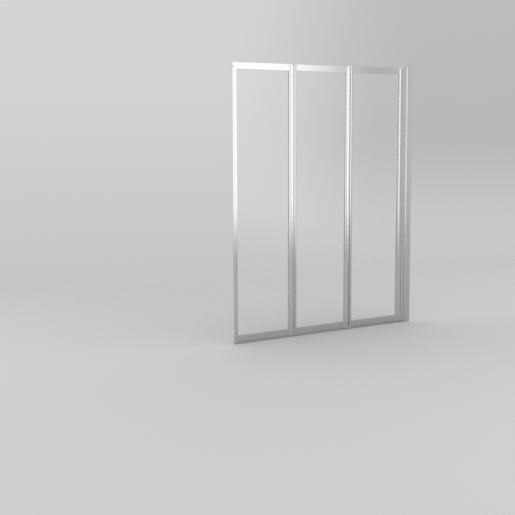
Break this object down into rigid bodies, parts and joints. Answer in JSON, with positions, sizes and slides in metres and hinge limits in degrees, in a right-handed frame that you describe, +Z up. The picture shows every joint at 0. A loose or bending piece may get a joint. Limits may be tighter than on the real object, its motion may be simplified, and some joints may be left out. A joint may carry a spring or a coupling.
{
  "type": "folding bath screen",
  "caption": "Framed folding bath screen: clear glass leaves in satin aluminium frames, hinged to each other and to a wall channel, folding flat against the wall.",
  "frame": {"origin": "on the wall plane, at the screen's middle plane and the level of the bath rim", "axes": "+X into the wall, the screen reaches out to -X; +Y over the bath, -Y to the room; +Z up"},
  "size_m": [1.1409, 0.037, 1.4],
  "materials": {
    "satin_aluminium": "satin anodised extrusion",
    "clear_glass": "clear toughened glass",
    "gasket_rubber": "grey glazing gasket",
    "soft_seal": "soft grey sealing strip",
    "grey_plastic": "moulded light grey",
    "bracket_alloy": "cast, painted satin silver",
    "steel": "stainless",
    "bush_polymer": "natural bearing polymer"
  },
  "bodies": {
    "wall_frame": {"wall_channel": "satin_aluminium", "hinge_post": "satin_aluminium", "wall_cap": "grey_plastic", "post_lock_screws": "steel", "lock_screw_caps": "grey_plastic", "post_bushes": "bush_polymer"},
    "inner_leaf": {"inner_bottom_bracket": "bracket_alloy", "inner_bottom_rail": "satin_aluminium", "inner_bottom_seal": "soft_seal", "inner_bracket_screws": "steel", "inner_bushes": "bush_polymer", "inner_corner_screws": "steel", "inner_foot_cover": "grey_plastic", "inner_gap_seal": "soft_seal", "inner_gasket": "gasket_rubber", "inner_glass": "clear_glass", "inner_hinge_pins": "steel", "inner_hinge_stile": "satin_aluminium", "inner_joint_stile": "satin_aluminium", "inner_stile_caps": "grey_plastic", "inner_top_bracket": "bracket_alloy", "inner_top_rail": "satin_aluminium"},
    "middle_leaf": {"middle_bottom_bracket": "bracket_alloy", "middle_bottom_rail": "satin_aluminium", "middle_bottom_seal": "soft_seal", "middle_bracket_screws": "steel", "middle_bushes": "bush_polymer", "middle_corner_screws": "steel", "middle_gap_seal": "soft_seal", "middle_gasket": "gasket_rubber", "middle_glass": "clear_glass", "middle_hinge_pins": "steel", "middle_hinge_stile": "satin_aluminium", "middle_joint_stile": "satin_aluminium", "middle_stile_caps": "grey_plastic", "middle_top_bracket": "bracket_alloy", "middle_top_rail": "satin_aluminium"},
    "outer_leaf": {"outer_bottom_bracket": "bracket_alloy", "outer_bottom_rail": "satin_aluminium", "outer_bottom_seal": "soft_seal", "outer_bracket_screws": "steel", "outer_corner_screws": "steel", "outer_free_stile": "satin_aluminium", "outer_gap_seal": "soft_seal", "outer_gasket": "gasket_rubber", "outer_glass": "clear_glass", "outer_hinge_pins": "steel", "outer_hinge_stile": "satin_aluminium", "outer_screw_plugs": "grey_plastic", "outer_stile_caps": "grey_plastic", "outer_top_bracket": "bracket_alloy", "outer_top_rail": "satin_aluminium"}
  },
  "joints": [
    {"name": "wall_hinge", "type": "hinge", "parent": "wall_frame", "child": "inner_leaf", "pos_m": [-0.06125, 0.014, 0.7], "axis": [0, 0, -1], "range_deg": [0, 90]},
    {"name": "inner_fold", "type": "hinge", "parent": "inner_leaf", "child": "middle_leaf", "pos_m": [-0.42125, -0.014, 0.7], "axis": [0, 0, 1], "range_deg": [0, 180]},
    {"name": "outer_fold", "type": "hinge", "parent": "middle_leaf", "child": "outer_leaf", "pos_m": [-0.78125, 0.014, 0.7], "axis": [0, 0, -1], "range_deg": [0, 180]}
  ]
}
